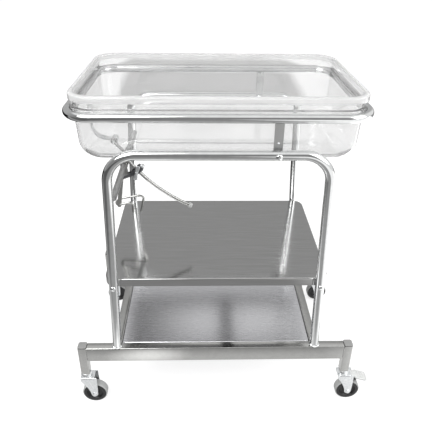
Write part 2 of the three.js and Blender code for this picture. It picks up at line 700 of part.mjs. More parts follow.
function casterFork() {
  const half = FORK.inside / 2;
  const { sheet, top, eye, heel, earDrop } = FORK;
  const ear = PEDAL.pivot + FORK.ear;
  const bow = { out: 2, back: 22, front: 30 }; // how the cheek's two edges swell above the eye
  const cheek = new THREE.Shape();
  cheek.moveTo(-heel, top);
  cheek.lineTo(-heel, top - heel);
  cheek.quadraticCurveTo(CASTER_TRAIL - eye - bow.out, AXLE_Z + bow.back, CASTER_TRAIL - eye, AXLE_Z);
  cheek.absarc(CASTER_TRAIL, AXLE_Z, eye, Math.PI, 2 * Math.PI);
  cheek.quadraticCurveTo(CASTER_TRAIL + eye + bow.out, AXLE_Z + bow.front, ear, top - earDrop);
  cheek.lineTo(ear, top);
  const front = plate(cheek, -half - sheet, -half);
  const back = plate(cheek, half, half + sheet);
  const crown = new THREE.Shape(roundedRectangle(CROWN.half, half + sheet, CROWN.corner));
  const plateTop = new THREE.ExtrudeGeometry(crown, { depth: CROWN.thickness, bevelEnabled: false });
  plateTop.translate(CROWN.x, 0, top - CROWN.thickness);
  const bore = FORK.kingpin + CLEARANCE;
  const through = 2 * heel;
  const kingpin = new THREE.CylinderGeometry(bore, bore, through, 10).rotateX(Math.PI / 2);
  kingpin.translate(0, 0, top);
  const axle = crossPin(AXLE_RADIUS + CLEARANCE, -half - eye, half + eye, CASTER_TRAIL, AXLE_Z);
  const pedalHole = crossPin(PEDAL.pin + CLEARANCE, -half - eye, half + eye, PEDAL.pivot, PEDAL.height);
  return cut(join(front, back, plateTop), kingpin, axle, pedalHole);
}

function axleBolt() {
  const reach = FORK.inside / 2 + FORK.sheet + GAP;
  const head = 6.5;
  const height = 4;
  return turned(
    [
      [0, -reach - height], [head - 1, -reach - height], [head, -reach - height + 1], [head, -reach],
      [AXLE_RADIUS, -reach], [AXLE_RADIUS, reach],
      [head, reach], [head, reach + height], [0, reach + height],
    ],
    8,
  );
}

// Half the wheel's profiles are mirrored to the other face; a flat of the tread faces the floor.
function wheelTurned(half) {
  const mirrored = half.map(([r, y]) => [r, -y]).reverse();
  const wheel = turned([...half, ...mirrored, half[0]], WHEEL_SIDES);
  return wheel.rotateY(Math.PI / WHEEL_SIDES);
}

function wheelCore() {
  const bore = AXLE_RADIUS + CLEARANCE;
  const hub = FORK.inside / 2 - 1;
  const { boss, flare, dish, web, inset } = CORE;
  const lip = WHEEL_WIDTH / 2 - inset;
  return wheelTurned([[bore, -hub], [boss, -hub], [flare, -web], [dish, -web], [CORE_RADIUS, -lip]]);
}

function tyre() {
  const inner = CORE_RADIUS + GAP;
  const half = WHEEL_WIDTH / 2;
  return wheelTurned([
    [inner, -half + TYRE.wall],
    [inner + TYRE.wall, -half],
    [WHEEL_RADIUS - TYRE.wall, -half],
    [WHEEL_RADIUS, -half + TYRE.shoulder],
  ]);
}

// A brake pedal on its own trunnions in the fork's ears, with a shoe over the tread.
function brakePedal() {
  const { start, end, width, thickness, pin } = PEDAL;
  const length = end - start;
  const inside = FORK.inside / 2 - GAP;
  const tread = new THREE.Shape(roundedRectangle(length / 2, width / 2, PEDAL_CORNER));
  const pad = new THREE.ExtrudeGeometry(tread, { depth: thickness, bevelEnabled: false });
  pad.translate((start + end) / 2, 0, 0);
  const { size, inset, rise, places } = PEDAL_RIB;
  const ribs = places.map((part) => {
    const rib = new THREE.BoxGeometry(size, width - 2 * inset, size);
    return rib.translate(start + part * length, 0, thickness + rise);
  });
  const barrel = crossPin(thickness, -inside, inside, 0, 0);
  const trunnion = crossPin(pin, -inside - FORK.sheet - 1, inside + FORK.sheet + 1, 0, 0, 8);
  const root = start + 4; // the neck runs a little way under the pad
  const neck = new THREE.BoxGeometry(root, 2 * inside - 2, thickness);
  neck.translate(root / 2, 0, thickness / 2);
  const { length: shoeLength, width: shoeWidth, height, x, z } = PEDAL_SHOE;
  const shoe = new THREE.BoxGeometry(shoeLength, shoeWidth, height).translate(x, 0, z);
  return join(pad, barrel, trunnion, neck, shoe, ...ribs);
}

function addCasters() {
  for (const [end, y] of Object.entries(ENDS)) {
    for (const [side, x] of Object.entries(SIDES)) {
      const caster = new THREE.Group();
      caster.position.set(x * POST_X, y * HOOP_Y, 0);
      bassinet.add(caster);
      const label = `${end}_${side}`;
      add(`caster_stem_${label}`, casterStem(), "zinc", caster);
      add(`caster_fork_${label}`, casterFork(), "zinc", caster);
      const wheel = new THREE.Group();
      wheel.position.set(CASTER_TRAIL, 0, AXLE_Z);
      caster.add(wheel);
      add(`caster_axle_${label}`, axleBolt(), "zinc", wheel);
      add(`wheel_core_${label}`, wheelCore(), "blackPlastic", wheel);
      add(`tyre_${label}`, tyre(), "greyRubber", wheel);
      if (x * y < 0) {
        const pedal = add(`brake_pedal_${label}`, brakePedal(), "greyPlastic", caster);
        pedal.position.set(PEDAL.pivot, 0, PEDAL.height);
        pedal.rotation.y = degrees(PEDAL.slope);
      }
    }
  }
}

addBase();
addHoops();
addShelves();
addRing();
addTub();
addStay();
addClamp();
addCasters();

// The origin is on the floor, under the middle of the whole object.
const middle = new THREE.Box3().setFromObject(bassinet, true).getCenter(new THREE.Vector3());
bassinet.position.set(-middle.x, -middle.y, 0);

export default bassinet;
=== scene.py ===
"""Hospital bassinet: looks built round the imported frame, in metres, +Z up, front towards -Y."""

import json
import math

import bpy
import numpy as np
from mathutils import Matrix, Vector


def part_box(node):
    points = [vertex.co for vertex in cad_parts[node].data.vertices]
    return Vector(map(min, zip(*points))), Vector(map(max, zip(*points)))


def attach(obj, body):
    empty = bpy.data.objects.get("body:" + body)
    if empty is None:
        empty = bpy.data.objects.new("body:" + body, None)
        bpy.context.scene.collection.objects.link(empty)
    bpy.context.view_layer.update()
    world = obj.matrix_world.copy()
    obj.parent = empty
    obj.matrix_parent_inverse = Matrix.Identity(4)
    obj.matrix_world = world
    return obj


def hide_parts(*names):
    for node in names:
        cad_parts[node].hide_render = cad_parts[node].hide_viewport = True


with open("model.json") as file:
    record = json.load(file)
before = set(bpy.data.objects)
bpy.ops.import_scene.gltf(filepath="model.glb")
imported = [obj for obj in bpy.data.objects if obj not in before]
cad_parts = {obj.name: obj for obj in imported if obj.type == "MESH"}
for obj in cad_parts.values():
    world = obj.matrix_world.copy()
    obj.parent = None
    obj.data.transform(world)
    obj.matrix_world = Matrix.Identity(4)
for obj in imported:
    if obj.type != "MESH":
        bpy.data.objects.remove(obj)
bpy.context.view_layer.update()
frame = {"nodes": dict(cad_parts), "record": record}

MM = 0.001
SHELF_LOW, SHELF_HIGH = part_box("upper_shelf")
MIDDLE = np.array([(SHELF_LOW.x + SHELF_HIGH.x) / 2, 0.0, 0.0])  # the shelves' middle, in the frame

# Sizes in millimetres, measured from the middle of the shelves, as the part has them
GAP = 0.3  # between pieces that touch
FOOT_X, TOP_X, HOOP_Y, HOOP_TOP, HOOP_BEND = 286.5, 265.0, 230.0, 825.0, 70.0
LEG_R, LEG_WALL = 12.5, 1.2
BEAM_TOP, BEAM_HEIGHT = 221.0, 50.0
LEG_LEAN = (FOOT_X - TOP_X) / (HOOP_TOP - BEAM_TOP)  # the legs lean in towards the top rail
STOCK, STOCK_WALL, STOCK_CORNER = 25.0, 1.5, 3.0  # square tube of the beams, rails and posts
POST_X, POST_BOTTOM, RAIL_X = 387.5, 118.0, 287.5
SHEET, SHEET_BEND = 1.5, 4.0
UPPER_SHELF = {"half_x": 306.0, "half_y": 216.9, "corner": 30.0, "lip": 24.0, "top": 452.0}
LOWER_SHELF = {"half_x": 274.7, "half_y": 217.2, "corner": 6.0, "lip": 18.0, "top": 219.5}
SHELF_BOLT_Z, SHELF_BOLT_LENGTH = 440.0, 33.0
RING_X, RING_Y, RING_Z, RING_R, RING_CORNER = 358.0, 221.0, 912.0, 11.0, 66.0
PIVOT_X, PIVOT_BOLT_LENGTH, PIVOT_NUT = 138.0, 30.9, 4.0
BAR_X, BAR_Z, BAR_R = -259.2, 703.0, 8.0  # the left cross bar
STAY_Y, STAY_PIN_X, STAY_PIN_Z = -20.0, -282.0, 772.5
HANGER_Y = -4.2
BARREL_SEAT, BARREL_LEAN = np.array([-235.29, STAY_Y, 675.5]), 21.0
GRIP, GRIP_SLOPE = np.array([-224.2, 0, 684.84]), -49.9  # where the rod runs through the jaw
LEVER_PIN = np.array([-271.7, 661.52])
TRAIL, WHEEL_R = 20.0, 37.5
AXLE_Z = WHEEL_R * math.cos(math.pi / 16)  # the part's wheel has 16 flats and stands on one
PEDAL_TRAIL, PEDAL_Z, PEDAL_SLOPE = 25.0, 94.0, 17.0

ENDS = {"front": -1, "rear": 1}
SIDES = {"left": -1, "right": 1}
CORNERS = [(f"{e}_{s}", sx, ey) for e, ey in ENDS.items() for s, sx in SIDES.items()]
ALONG, ACROSS, UP = (1, 0, 0), (0, 1, 0), (0, 0, 1)
ASKEW = (0.3, 0.5, 0.8)  # a direction that no turned axis has
TIP = 0.2  # the radius where a turned solid's profile starts and ends, and its caps close it
RIPPLE = 0.12  # of a weld bead, as a share of its size


# Surfaces

def circle(radius, sides):
    """Points of a circle: radius times cosine and sine, anticlockwise, shape (sides, 2)."""
    t = np.linspace(0, 2 * np.pi, sides, endpoint=False)
    return radius * np.stack([np.cos(t), np.sin(t)], -1)


def rounded(half_x, half_y, radius, steps=8):
    """A rectangle with round corners, anticlockwise: quarter circles about the corner centres."""
    t = (np.arange(4)[:, None] + np.linspace(0, 1, steps + 1)) * np.pi / 2
    side = np.array([[1, 1], [-1, 1], [-1, -1], [1, -1]])[:, None, :]
    arc = np.stack([np.cos(t), np.sin(t)], -1)
    return (side * (np.array([half_x, half_y]) - radius) + radius * arc).reshape(-1, 2)


def bent(corners, radius, steps=12, closed=False):
    """A polyline with round corners: centre + start cos a + heading r sin a round each corner."""
    corners = np.asarray(corners, float)
    radii = np.broadcast_to(radius, len(corners))
    runs = []
    for i, corner in enumerate(corners):
        if not closed and i in (0, len(corners) - 1):
            runs.append(corner[None])
            continue
        back = corners[i - 1] - corner
        ahead = corners[(i + 1) % len(corners)] - corner
        back, ahead = back / np.linalg.norm(back), ahead / np.linalg.norm(ahead)
        half = np.arccos(np.clip(back @ ahead, -1, 1)) / 2
        middle = (back + ahead) / np.linalg.norm(back + ahead)
        centre = corner + middle * radii[i] / np.sin(half)
        start = corner + back * radii[i] / np.tan(half) - centre
        a = np.linspace(0, np.pi - 2 * half, steps + 1)[:, None]
        runs.append(centre + start * np.cos(a) - back * radii[i] * np.sin(a))
    return np.concatenate(runs)


def tangents(path, closed=False):
    """Unit directions along a path, from each point's neighbours."""
    if closed:
        step = np.roll(path, -1, 0) - np.roll(path, 1, 0)
    else:
        step = np.gradient(path, axis=0)
    return step / np.linalg.norm(step, axis=1, keepdims=True)


def carried(section, path, normal, closed=False, size=None):
    """A section carried along a flat path: point + side x + normal y, shape (path, section, 3).

    The side is the normal crossed with the path's direction. size scales the section along the
    path.
    """
    normal = np.asarray(normal, float)
    side = np.cross(normal, tangents(path, closed))
    size = np.ones(len(path)) if size is None else np.asarray(size, float)
    flat = section[None] * size[:, None, None]
    return path[:, None] + side[:, None] * flat[..., :1] + normal * flat[..., 1:]


def square_to(axis):
    """Two unit directions square to an axis and to each other."""
    u = np.cross(axis, ASKEW)
    u /= np.linalg.norm(u)
    return u, np.cross(axis, u)


def turned(profile, place, axis, sides=40):
    """A turned surface: place + axis h + radius (u cos t + v sin t) for each (radius, h) pair."""
    profile = np.asarray(profile, float)
    axis = np.asarray(axis, float) / np.linalg.norm(axis)
    u, v = square_to(axis)
    t = np.linspace(0, 2 * np.pi, sides, endpoint=False)[:, None]
    ring = u * np.cos(t) + v * np.sin(t)
    return np.asarray(place, float) + profile[:, None, 1:] * axis + profile[:, None, :1] * ring


def stacked(outlines, heights):
    """Plan outlines lifted to heights, shape (levels, points, 3)."""
    heights = np.asarray(heights, float)[:, None, None]
    outlines = np.asarray(outlines, float)
    return np.concatenate([outlines, np.broadcast_to(heights, outlines.shape[:2] + (1,))], -1)


def rounded_profile(points, radii, steps=5):
    """A profile of (radius, height) pairs with its corners rounded, as a bent polyline."""
    return bent(np.asarray(points, float), np.array([0, *radii, 0], float), steps)


def two_sided(half, radii, steps):
    """A rounded profile from its lower half: the half, then its mirror image about height 0."""
    half = np.asarray(half, float)
    points = np.concatenate([half, half[::-1] * [1, -1]])
    return rounded_profile(points, [*radii, *radii[::-1]], steps)


def faces_of(grid, loop):
    """Quads of a grid closed round its second axis, and the two end caps of one that is no loop."""
    rows, count = grid.shape[:2]
    i, j = np.arange(rows if loop else rows - 1)[:, None], np.arange(count)[None]
    up, on = (i + 1) % rows, (j + 1) % count
    quads = np.stack([i * count + j, i * count + on, up * count + on, up * count + j], -1)
    caps = np.concatenate([j[:, ::-1], j + (rows - 1) * count])
    return quads.reshape(-1, 4), caps[:0] if loop else caps


def enclosed(points, polygons):
    """Six times the volume inside: tetrahedra from the origin over a fan of each polygon."""
    fan = points[polygons]
    return np.einsum("nj,nkj->", fan[:, 0], np.cross(fan[:, 1:-1], fan[:, 2:]))


def make(name, shells, body, slot, replaces=(), look=None, crease=32):
    """One piece from closed shells in millimetres: joined, faced outwards, put on its body.

    Each shell is a grid of points and whether its ends meet. Edges sharper than the crease, in
    degrees, stay sharp, and so do the flat caps.
    """
    points, faces, smooth, start = [], [], [], 0
    for grid, loop in shells:
        corners = grid.reshape(-1, 3)
        groups = faces_of(grid, loop)
        turn = 1 if sum(enclosed(corners, group) for group in groups) > 0 else -1
        for group, curved in zip(groups, (True, False)):
            faces += (group[:, ::turn] + start).tolist()
            smooth += [curved] * len(group)
        points.append(corners)
        start += len(corners)
    mesh = bpy.data.meshes.new(name)
    mesh.from_pydata(np.concatenate(points) * MM + MIDDLE, [], faces)
    mesh.set_sharp_from_angle(angle=math.radians(crease))
    mesh.polygons.foreach_set("use_smooth", smooth)
    mesh.materials.append(MATERIALS[look or slot])
    piece = bpy.data.objects.new(name, mesh)
    bpy.context.scene.collection.objects.link(piece)
    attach(piece, body)
    if replaces:
        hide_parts(*replaces)


def solid(grid):
    """A shell with flat caps."""
    return grid, False


def hollow(outer, inner):
    """A tube wall: the outer grid forwards and the inner grid back, closed into a ring."""
    return np.concatenate([outer, inner[::-1]]), True


# Materials

def linear(code):
    """An sRGB hex colour as linear RGBA."""
    c = np.array([int(code[i:i + 2], 16) for i in (1, 3, 5)]) / 255
    c = np.where(c <= 0.04045, c / 12.92, ((c + 0.055) / 1.055) ** 2.4)
    return (*c.tolist(), 1.0)


def node(tree, kind, settings=(), inputs=(), **links):
    """Adds a node: settings are attributes, inputs socket values, links other nodes' outputs.

    A link is named for its socket, or i and a number for the socket's place.
    """
    made = tree.nodes.new(kind)
    for key, value in dict(settings).items():
        setattr(made, key, value)
    for key, value in dict(inputs).items():
        made.inputs[key].default_value = value
    for key, source in links.items():
        socket = int(key[1:]) if key[1:].isdigit() else key.replace("_", " ")
        tree.links.new(source, made.inputs[socket])
    return made


def ramp(tree, value, low, high, start, end):
    """An output that goes from start to end as the value goes from low to high."""
    inputs = {"From Min": low, "From Max": high, "To Min": start, "To Max": end}
    return node(tree, "ShaderNodeMapRange", inputs=inputs, Value=value).outputs["Result"]


def maths(tree, operation, first, second, **settings):
    """The output of an operation on two outputs."""
    settings["operation"] = operation
    return node(tree, "ShaderNodeMath", settings, i0=first, i1=second).outputs[0]


def finish(name, dark, light, smooth, rough, cell_mm, stretch=(1, 1, 1), depth_mm=0.0, **values):
    """A finish from one noise in Object coordinates, its cells sized in millimetres.

    The noise moves the shade from dark to light, the roughness from smooth to rough and the relief
    by its depth. Other values go straight to the shader's sockets.
    """
    material = bpy.data.materials.new(name)
    material.use_nodes = True
    tree = material.node_tree
    shader = tree.nodes["Principled BSDF"]
    for key, value in values.items():
        shader.inputs[key.replace("_", " ")].default_value = value
    where = node(tree, "ShaderNodeTexCoord").outputs["Object"]
    mapped = node(tree, "ShaderNodeMapping", inputs={"Scale": stretch}, Vector=where)
    grain = node(tree, "ShaderNodeTexNoise", inputs={"Scale": 1 / (cell_mm * MM), "Detail": 3.0},
                 Vector=mapped.outputs["Vector"]).outputs["Fac"]
    spread = ramp(tree, grain, 0.3, 0.7, 0.0, 1.0)  # most of the noise lies between these
    shade = node(tree, "ShaderNodeMix", {"data_type": "RGBA"}, {6: linear(dark), 7: linear(light)},
                 i0=spread)
    relief = node(tree, "ShaderNodeBump", inputs={"Distance": depth_mm * MM}, Height=grain)
    tree.links.new(shade.outputs[2], shader.inputs["Base Color"])
    tree.links.new(ramp(tree, spread, 0.0, 1.0, smooth, rough), shader.inputs["Roughness"])
    tree.links.new(relief.outputs["Normal"], shader.inputs["Normal"])
    return material


def clear_acrylic():
    """Formed acrylic: clear walls with a trace of haze, a less clear rim as a painted white
    highlight.
    """
    material = finish("clear formed acrylic", "#fafafa", "#ffffff", smooth=0.01, rough=0.03,
                      cell_mm=90, depth_mm=0.03, IOR=1.49)
    tree = material.node_tree
    where = node(tree, "ShaderNodeTexCoord")
    at = node(tree, "ShaderNodeSeparateXYZ", Vector=where.outputs["Object"])
    # The rim is drawn less clear, so it shows white: a painted highlight for the light it gathers.
    clear = ramp(tree, at.outputs["Z"], 0.938, 0.95, 0.94, 0.62)  # from the wall up to the rim
    tree.links.new(clear, tree.nodes["Principled BSDF"].inputs["Transmission Weight"])
    tint = node(tree, "ShaderNodeVolumeAbsorption",
                inputs={"Color": linear("#808080"), "Density": 5.0})
    tree.links.new(tint.outputs["Volume"], tree.nodes["Material Output"].inputs["Volume"])
    return material


STREAKS = (0.02, 1, 1)  # noise drawn out 50 times along the cot

MATERIALS = {
    # Polished 304 tube: a near mirror, faintly clouded by the buffing wheel.
    "polished_stainless": finish("polished stainless tube", "#dadbdb", "#e2e3e3",
                                 smooth=0.06, rough=0.09, cell_mm=14, Metallic=1.0),
    # The same steel as box section, less finely polished: greyer, with soft mirror images.
    "satin_stainless": finish("satin stainless section", "#b2b2b0", "#b8b8b6",
                              smooth=0.13, rough=0.17, cell_mm=14, Metallic=1.0),
    # Unpolished strap and bar of the same steel: light spreads over it without mirror images.
    "dull_stainless": finish("dull rolled stainless", "#b0b0af", "#bababa",
                             smooth=0.28, rough=0.36, cell_mm=1.6, Metallic=1.0),
    # Bright annealed sheet: a grey, slightly soft mirror, its rolling streaks drawn wider than the
    # real 0.2 mm.
    "stainless_sheet": finish("bright stainless sheet", "#b2b2b1", "#bcbcbc",
                              smooth=0.09, rough=0.14, cell_mm=1.6, stretch=STREAKS,
                              depth_mm=0.001, Metallic=1.0),
    # Satin sheet of the lower shelf: paler, with the same streaks and only blurred mirror images.
    "satin_sheet": finish("satin stainless sheet", "#d8d8db", "#dedee1", smooth=0.25, rough=0.28,
                          cell_mm=1.6, stretch=STREAKS, Metallic=1.0),
    # Grey moulded caps, as dark as the steel beside them: a grain coarser than the real 0.1 mm.
    "cap_moulding": finish("grey cap moulding", "#858584", "#929291", smooth=0.4, rough=0.5,
                           cell_mm=0.8, depth_mm=0.01),
    "clear_acrylic": clear_acrylic(),
    # Bright zinc on pressed steel: pale and slightly cloudy, with soft highlights.
    "zinc_plate": finish("bright zinc plate", "#dcdfe0", "#f2f3f4", smooth=0.26, rough=0.4,
                         cell_mm=6, Metallic=1.0),
    # Satin dark enamel on a small casting: a fine sand texture, coarser than the real 0.2 mm.
    "black_casting": finish("satin dark enamel casting", "#48494b", "#5a5b5e", smooth=0.35,
                            rough=0.5, cell_mm=0.9, depth_mm=0.02),
    # Light grey moulded polypropylene: a spark-eroded grain, coarser than the real 0.1 mm.
    "grey_moulding": finish("grey moulded polypropylene", "#c6c7c6", "#d4d5d4", smooth=0.4,
                            rough=0.55, cell_mm=0.8, depth_mm=0.01),
    # Black moulded nylon with a low sheen and the same grain.
    "black_moulding": finish("black moulded nylon", "#121213", "#1c1c1e", smooth=0.35, rough=0.5,
                             cell_mm=0.8, depth_mm=0.01),
    # Grey thermoplastic rubber tread: dull, with a scuffed grain, coarser than the real 0.2 mm.
    "grey_tyre": finish("grey tread rubber", "#a2a3a3", "#b6b7b6", smooth=0.55, rough=0.75,
                        cell_mm=0.7, depth_mm=0.02),
}
for item in frame["record"]["subparts"]:
    slots = frame["nodes"][item["node"]].data.materials
    slots.clear()
    dull = item["node"] == "pivot_strap_front"  # the photo shows this strap without a polish
    slots.append(MATERIALS["dull_stainless" if dull else item["material_slot"]])


# Pieces

def tube(path, radius, normal, closed=False, sides=32, size=None):
    """A round bar along a flat path."""
    return carried(circle(radius, sides), path, normal, closed, size), closed


def pipe(path, radius, wall, normal, sides=32):
    """A round tube with open ends along a flat path."""
    outer = carried(circle(radius, sides), path, normal)
    return hollow(outer, carried(circle(radius - wall, sides), path, normal))


def weld_ring(place, axis, radius, bead=1.7, ripples=34):
    """A weld bead: a small circle carried round a ring, its size rippling with the angle."""
    axis = np.asarray(axis, float)
    u, v = square_to(axis)
    t = np.linspace(0, 2 * np.pi, ripples * 4, endpoint=False)
    path = np.asarray(place, float) + radius * (np.cos(t)[:, None] * u + np.sin(t)[:, None] * v)
    return tube(path, bead, axis, True, 10, 1 + RIPPLE * np.sin(ripples * t))


def straight(a, b, count=2):
    """Evenly spaced points from a to b."""
    t = np.linspace(0, 1, count)[:, None]
    return np.asarray(a, float) * (1 - t) + np.asarray(b, float) * t


def weld_line(a, b, normal, bead=1.6, pitch=2.2):
    """A straight weld bead: a small circle along a line, rippled every pitch, its ends tapered."""
    length = np.linalg.norm(np.subtract(b, a))
    count = max(12, int(length / pitch * 4))
    t = np.linspace(0, 1, count)
    steepness, least = 14, 0.15
    taper = np.clip(np.minimum(t, 1 - t) * steepness, least, 1) ** 0.5
    size = taper * (1 + RIPPLE * np.sin(2 * np.pi * length / pitch * t))
    return tube(straight(a, b, count), bead, normal, False, 10, size)


def box_tube(width, height, path, normal):
    """A square tube with round edges along a straight path."""
    half_x, half_y = width / 2, height / 2
    outer = rounded(half_x, half_y, STOCK_CORNER, 5)
    inner = rounded(half_x - STOCK_WALL, half_y - STOCK_WALL, STOCK_CORNER - STOCK_WALL, 5)
    return hollow(carried(outer, path, normal), carried(inner, path, normal))


def leg_x(z):
    """How far a leg's centre is from the middle at a height."""
    return FOOT_X - LEG_LEAN * (z - BEAM_TOP)


def make_hoops():
    """Leg hoops: a circle carried round two bends, with a rippled weld bead at each foot."""
    foot = BEAM_TOP + GAP + LEG_R * LEG_LEAN
    lift, spread = 0.8, 0.6  # of the bead's centre, from the foot and from the leg's surface
    for end, ey in ENDS.items():
        y = ey * HOOP_Y
        rail = [(-TOP_X, y, HOOP_TOP), (TOP_X, y, HOOP_TOP)]
        path = bent([(-FOOT_X, y, foot), *rail, (FOOT_X, y, foot)], HOOP_BEND, 20)
        make(f"{end}_hoop_tube", [pipe(path, LEG_R, LEG_WALL, ACROSS, 40)], "trolley",
             "polished_stainless", [f"{end}_leg_hoop"])
        beads = [weld_ring((sx * FOOT_X, y, foot + lift), UP, LEG_R + spread)
                 for sx in SIDES.values()]
        make(f"{end}_foot_welds", beads, "trolley", "polished_stainless")


def make_base():
    """Base: beams, rails and posts as round-edged square tubes, with weld beads where they meet."""
    reach = POST_X - STOCK / 2 - GAP
    low, mid = BEAM_TOP - BEAM_HEIGHT, BEAM_TOP - BEAM_HEIGHT / 2
    sunk, half_run = 0.2, 9.0  # how deep the beads' centres lie; half the length of one underneath
    post_short, rail_short = 4.0, 3.0  # how far the upright beads stop short of an edge
    for end, ey in ENDS.items():
        y = ey * HOOP_Y
        path = straight((-reach, y, mid), (reach, y, mid))
        make(f"{end}_beam_tube", [box_tube(STOCK, BEAM_HEIGHT, path, UP)], "trolley",
             "polished_stainless", [f"{end}_base_beam"], "satin_stainless")
        beads = []
        for sx in SIDES.values():
            x = sx * (reach + GAP / 2)
            for face in (-1, 1):
                edge = y + face * (STOCK / 2 - sunk)
                beads.append(weld_line((x, edge, low + post_short),
                                       (x, edge, BEAM_TOP - post_short), ACROSS))
            beads.append(weld_line((x, y - half_run, low + sunk),
                                   (x, y + half_run, low + sunk), UP))
            inner = y - ey * STOCK / 2
            for face in (-1, 1):
                edge = sx * RAIL_X + face * (STOCK / 2 - sunk)
                beads.append(weld_line((edge, inner, BEAM_TOP - STOCK + rail_short),
                                       (edge, inner, BEAM_TOP - rail_short), ALONG))
        make(f"{end}_beam_welds", beads, "trolley", "polished_stainless", look="satin_stainless")
    span = HOOP_Y - STOCK / 2 - GAP
    for side, sx in SIDES.items():
        z = BEAM_TOP - STOCK / 2
        path = straight((sx * RAIL_X, -span, z), (sx * RAIL_X, span, z))
        make(f"side_rail_tube_{side}", [box_tube(STOCK, STOCK, path, UP)], "trolley",
             "polished_stainless", [f"base_side_rail_{side}"], "satin_stainless")
    for label, sx, ey in CORNERS:
        x, y = sx * POST_X, ey * HOOP_Y
        path = straight((x, y, POST_BOTTOM), (x, y, BEAM_TOP))
        make(f"post_tube_{label}", [box_tube(STOCK, STOCK, path, ACROSS)], "trolley",
             "polished_stainless", [f"post_{label}"], "satin_stainless")
        cap, seal = cap_shells((x, y, BEAM_TOP))
        make(f"end_cap_{label}", [cap], "trolley", "grey_moulding", [f"post_cap_{label}"],
             "cap_moulding")
        make(f"cap_seal_{label}", [seal], "trolley", "black_moulding")


def cap_shells(place):
    """End cap: round-cornered squares stacked to a softly domed top, over a dark seal and plug."""
    half, corner, edge, skirt, shoulder, dome = STOCK / 2, 5.0, 1.6, 1.7, 2.4, 1.3
    t = np.linspace(0, np.pi / 2, 6)
    sides = half - edge * (1 - np.cos(t))
    outlines = [rounded(h, h, corner) for h in (half, *sides, 0.75 * half, 0.4 * half)]
    cap = stacked(outlines, [skirt, *(shoulder + dome * np.sin(t)), 4.0, 4.2])
    collar = rounded(half - 0.7, half - 0.7, 4.3)
    plug = rounded(half - 1.8, half - 1.8, 1.5)
    seal = stacked([plug, plug, collar, collar], [-12, 0.1, 0.1, 1.9])
    return solid(cap + place), solid(seal + place)


def shelf_grid(half_x, half_y, corner, lip, top):
    """A folded pan: outlines run out under the top and down the lip, then up outside and over."""
    t = np.linspace(0, np.pi / 2, 7)
    over_in = np.concatenate([[0], SHEET_BEND * (1 - np.cos(t))])
    over_z = np.concatenate([[-lip], -SHEET_BEND + SHEET_BEND * np.sin(t)])
    inner = SHEET_BEND - SHEET
    under_in = np.concatenate([SHEET + inner * (1 - np.cos(t[::-1])), [SHEET]])
    under_z = np.concatenate([-SHEET_BEND + inner * np.sin(t[::-1]), [-lip]])
    inset, height = np.concatenate([under_in, over_in]), np.concatenate([under_z, over_z])
    least = 0.6  # radius of a plan corner
    outlines = [rounded(half_x - i, half_y - i, max(corner - i, least), 10) for i in inset]
    return stacked(outlines, top + height)


def make_shelves():
    """Shelves: folded pans with a rolled edge; under the upper one, a black strip of painted shade.
    """
    upper = solid(shelf_grid(**UPPER_SHELF))
    make("upper_shelf_pan", [upper], "trolley", "stainless_sheet", ["upper_shelf"])
    # Painted shade: the shadowed stiffener under the upper shelf is drawn as a black strip, which
    # the lower shelf mirrors as a dark band.
    strip_x, reach, strip_z, half_width, half_height, edge = 48.0, 190.0, 445.6, 20, 4.5, 2.0
    path = straight((strip_x, -reach, strip_z), (strip_x, reach, strip_z))
    strip = solid(carried(rounded(half_width, half_height, edge, 4), path, UP))
    make("upper_shelf_painted_shade_strip", [strip], "trolley", "black_moulding")
    lower = solid(shelf_grid(**LOWER_SHELF))
    make("lower_shelf_pan", [lower], "trolley", "stainless_sheet", ["lower_shelf"], "satin_sheet")
    for label, sx, ey in CORNERS:
        place = (sx * leg_x(SHELF_BOLT_Z), ey * (HOOP_Y + LEG_R + GAP), SHELF_BOLT_Z)
        make(f"shelf_bolt_{label}_head", bolt_shells(place, -ey, SHELF_BOLT_LENGTH), "trolley",
             "polished_stainless", [f"shelf_bolt_{label}"])


def bolt_shells(place, inward, length, nut=None):
    """A button-head bolt: a turned dome with a round socket, its shank and, if asked, a nut."""
    head, rise, shank, sink = 8.0, 4.9, 4.0, 3.0
    t = np.linspace(0, np.pi / 2, 9)
    dome = np.stack([head * np.sin(t), -rise * np.cos(t)], -1)
    socket = [(TIP, -sink), (2.6, -sink), (2.9, -4.55)]
    profile = [*socket, *dome[4:], (head, -0.2), (7.6, 0), (shank, 0), (shank, length)]
    if nut:
        profile += [(7, length), (7, length + nut - 1), (5.5, length + nut)]
    profile += [(TIP, profile[-1][1])]
    return [solid(turned(profile, place, (0, inward, 0), 36))]


